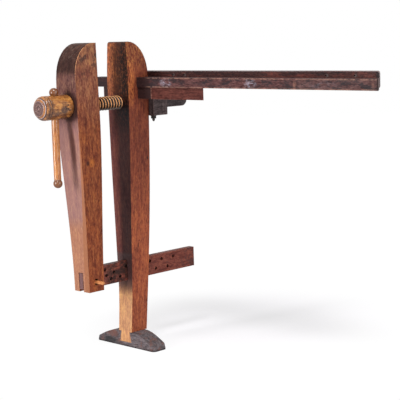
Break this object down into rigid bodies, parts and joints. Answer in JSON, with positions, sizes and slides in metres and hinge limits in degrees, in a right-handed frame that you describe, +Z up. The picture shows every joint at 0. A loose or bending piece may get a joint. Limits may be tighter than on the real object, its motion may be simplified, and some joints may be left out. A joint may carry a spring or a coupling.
{
  "type": "leg vise",
  "caption": "Old wooden leg vise with bench rails: fixed leg on a foot, moving chop, wooden screw with tommy bar, and a drilled guide board with a peg.",
  "frame": {"origin": "on the floor under the leg's jaw face, on the vise's middle plane", "axes": "+Z up; +X from the chop to the leg, square to the jaw faces, the way the vise closes; Y along the rails, whose long ends point to -Y"},
  "size_m": [0.5495, 1.008, 0.86],
  "materials": {
    "red_brown_wood": "old oiled wood with worn edges",
    "dark_rail_wood": "dark dirty wood with scuffs",
    "blackened_foot_wood": "blackened worn wood",
    "honey_turned_wood": "turned wood, handled to a shine",
    "pale_peg_wood": "plain pale wood",
    "dark_iron": "dark and lightly rusted"
  },
  "bodies": {
    "frame": {"leg": "red_brown_wood", "foot": "blackened_foot_wood", "front_rail": "dark_rail_wood", "back_rail": "dark_rail_wood", "rail_cleat_near": "dark_rail_wood", "rail_cleat_far": "dark_rail_wood", "bracket_near": "dark_rail_wood", "bracket_far": "dark_rail_wood", "bracket_bolt_near": "dark_iron", "bracket_bolt_far": "dark_iron", "bracket_washer_near": "dark_iron", "bracket_washer_far": "dark_iron", "bracket_nut_near": "dark_iron", "bracket_nut_far": "dark_iron", "leg_bolt_near": "dark_iron", "leg_bolt_far": "dark_iron", "rail_screw_1": "dark_iron", "rail_screw_2": "dark_iron", "rail_screw_3": "dark_iron", "cleat_screw_1": "dark_iron", "cleat_screw_2": "dark_iron", "cleat_screw_3": "dark_iron", "cleat_screw_4": "dark_iron"},
    "chop": {"chop": "red_brown_wood", "guide": "red_brown_wood", "garter_key": "red_brown_wood"},
    "screw": {"vise_screw": "honey_turned_wood"},
    "handle": {"handle_bar": "honey_turned_wood", "handle_ball_upper": "honey_turned_wood", "handle_ball_lower": "honey_turned_wood"},
    "peg": {"guide_peg": "pale_peg_wood"}
  },
  "joints": [
    {"name": "chop_slide", "type": "slide", "parent": "frame", "child": "chop", "axis": [1, 0, 0], "range_m": [-0.0501, 0.1061]},
    {"name": "screw_turn", "type": "hinge", "parent": "chop", "child": "screw", "pos_m": [-0.1854, 0, 0.6934], "axis": [1, 0, 0], "range_deg": [-1800, 3816]},
    {"name": "handle_slide", "type": "slide", "parent": "screw", "child": "handle", "axis": [0, 0, 1], "range_m": [0, 0.1623]},
    {"name": "peg_pull", "type": "slide", "parent": "chop", "child": "peg", "axis": [0, -1, 0], "range_m": [0, 0.044]}
  ],
  "couplings": [
    {"joint": "chop_slide", "follows": "screw_turn", "m_per_rad": 0.0015915}
  ]
}
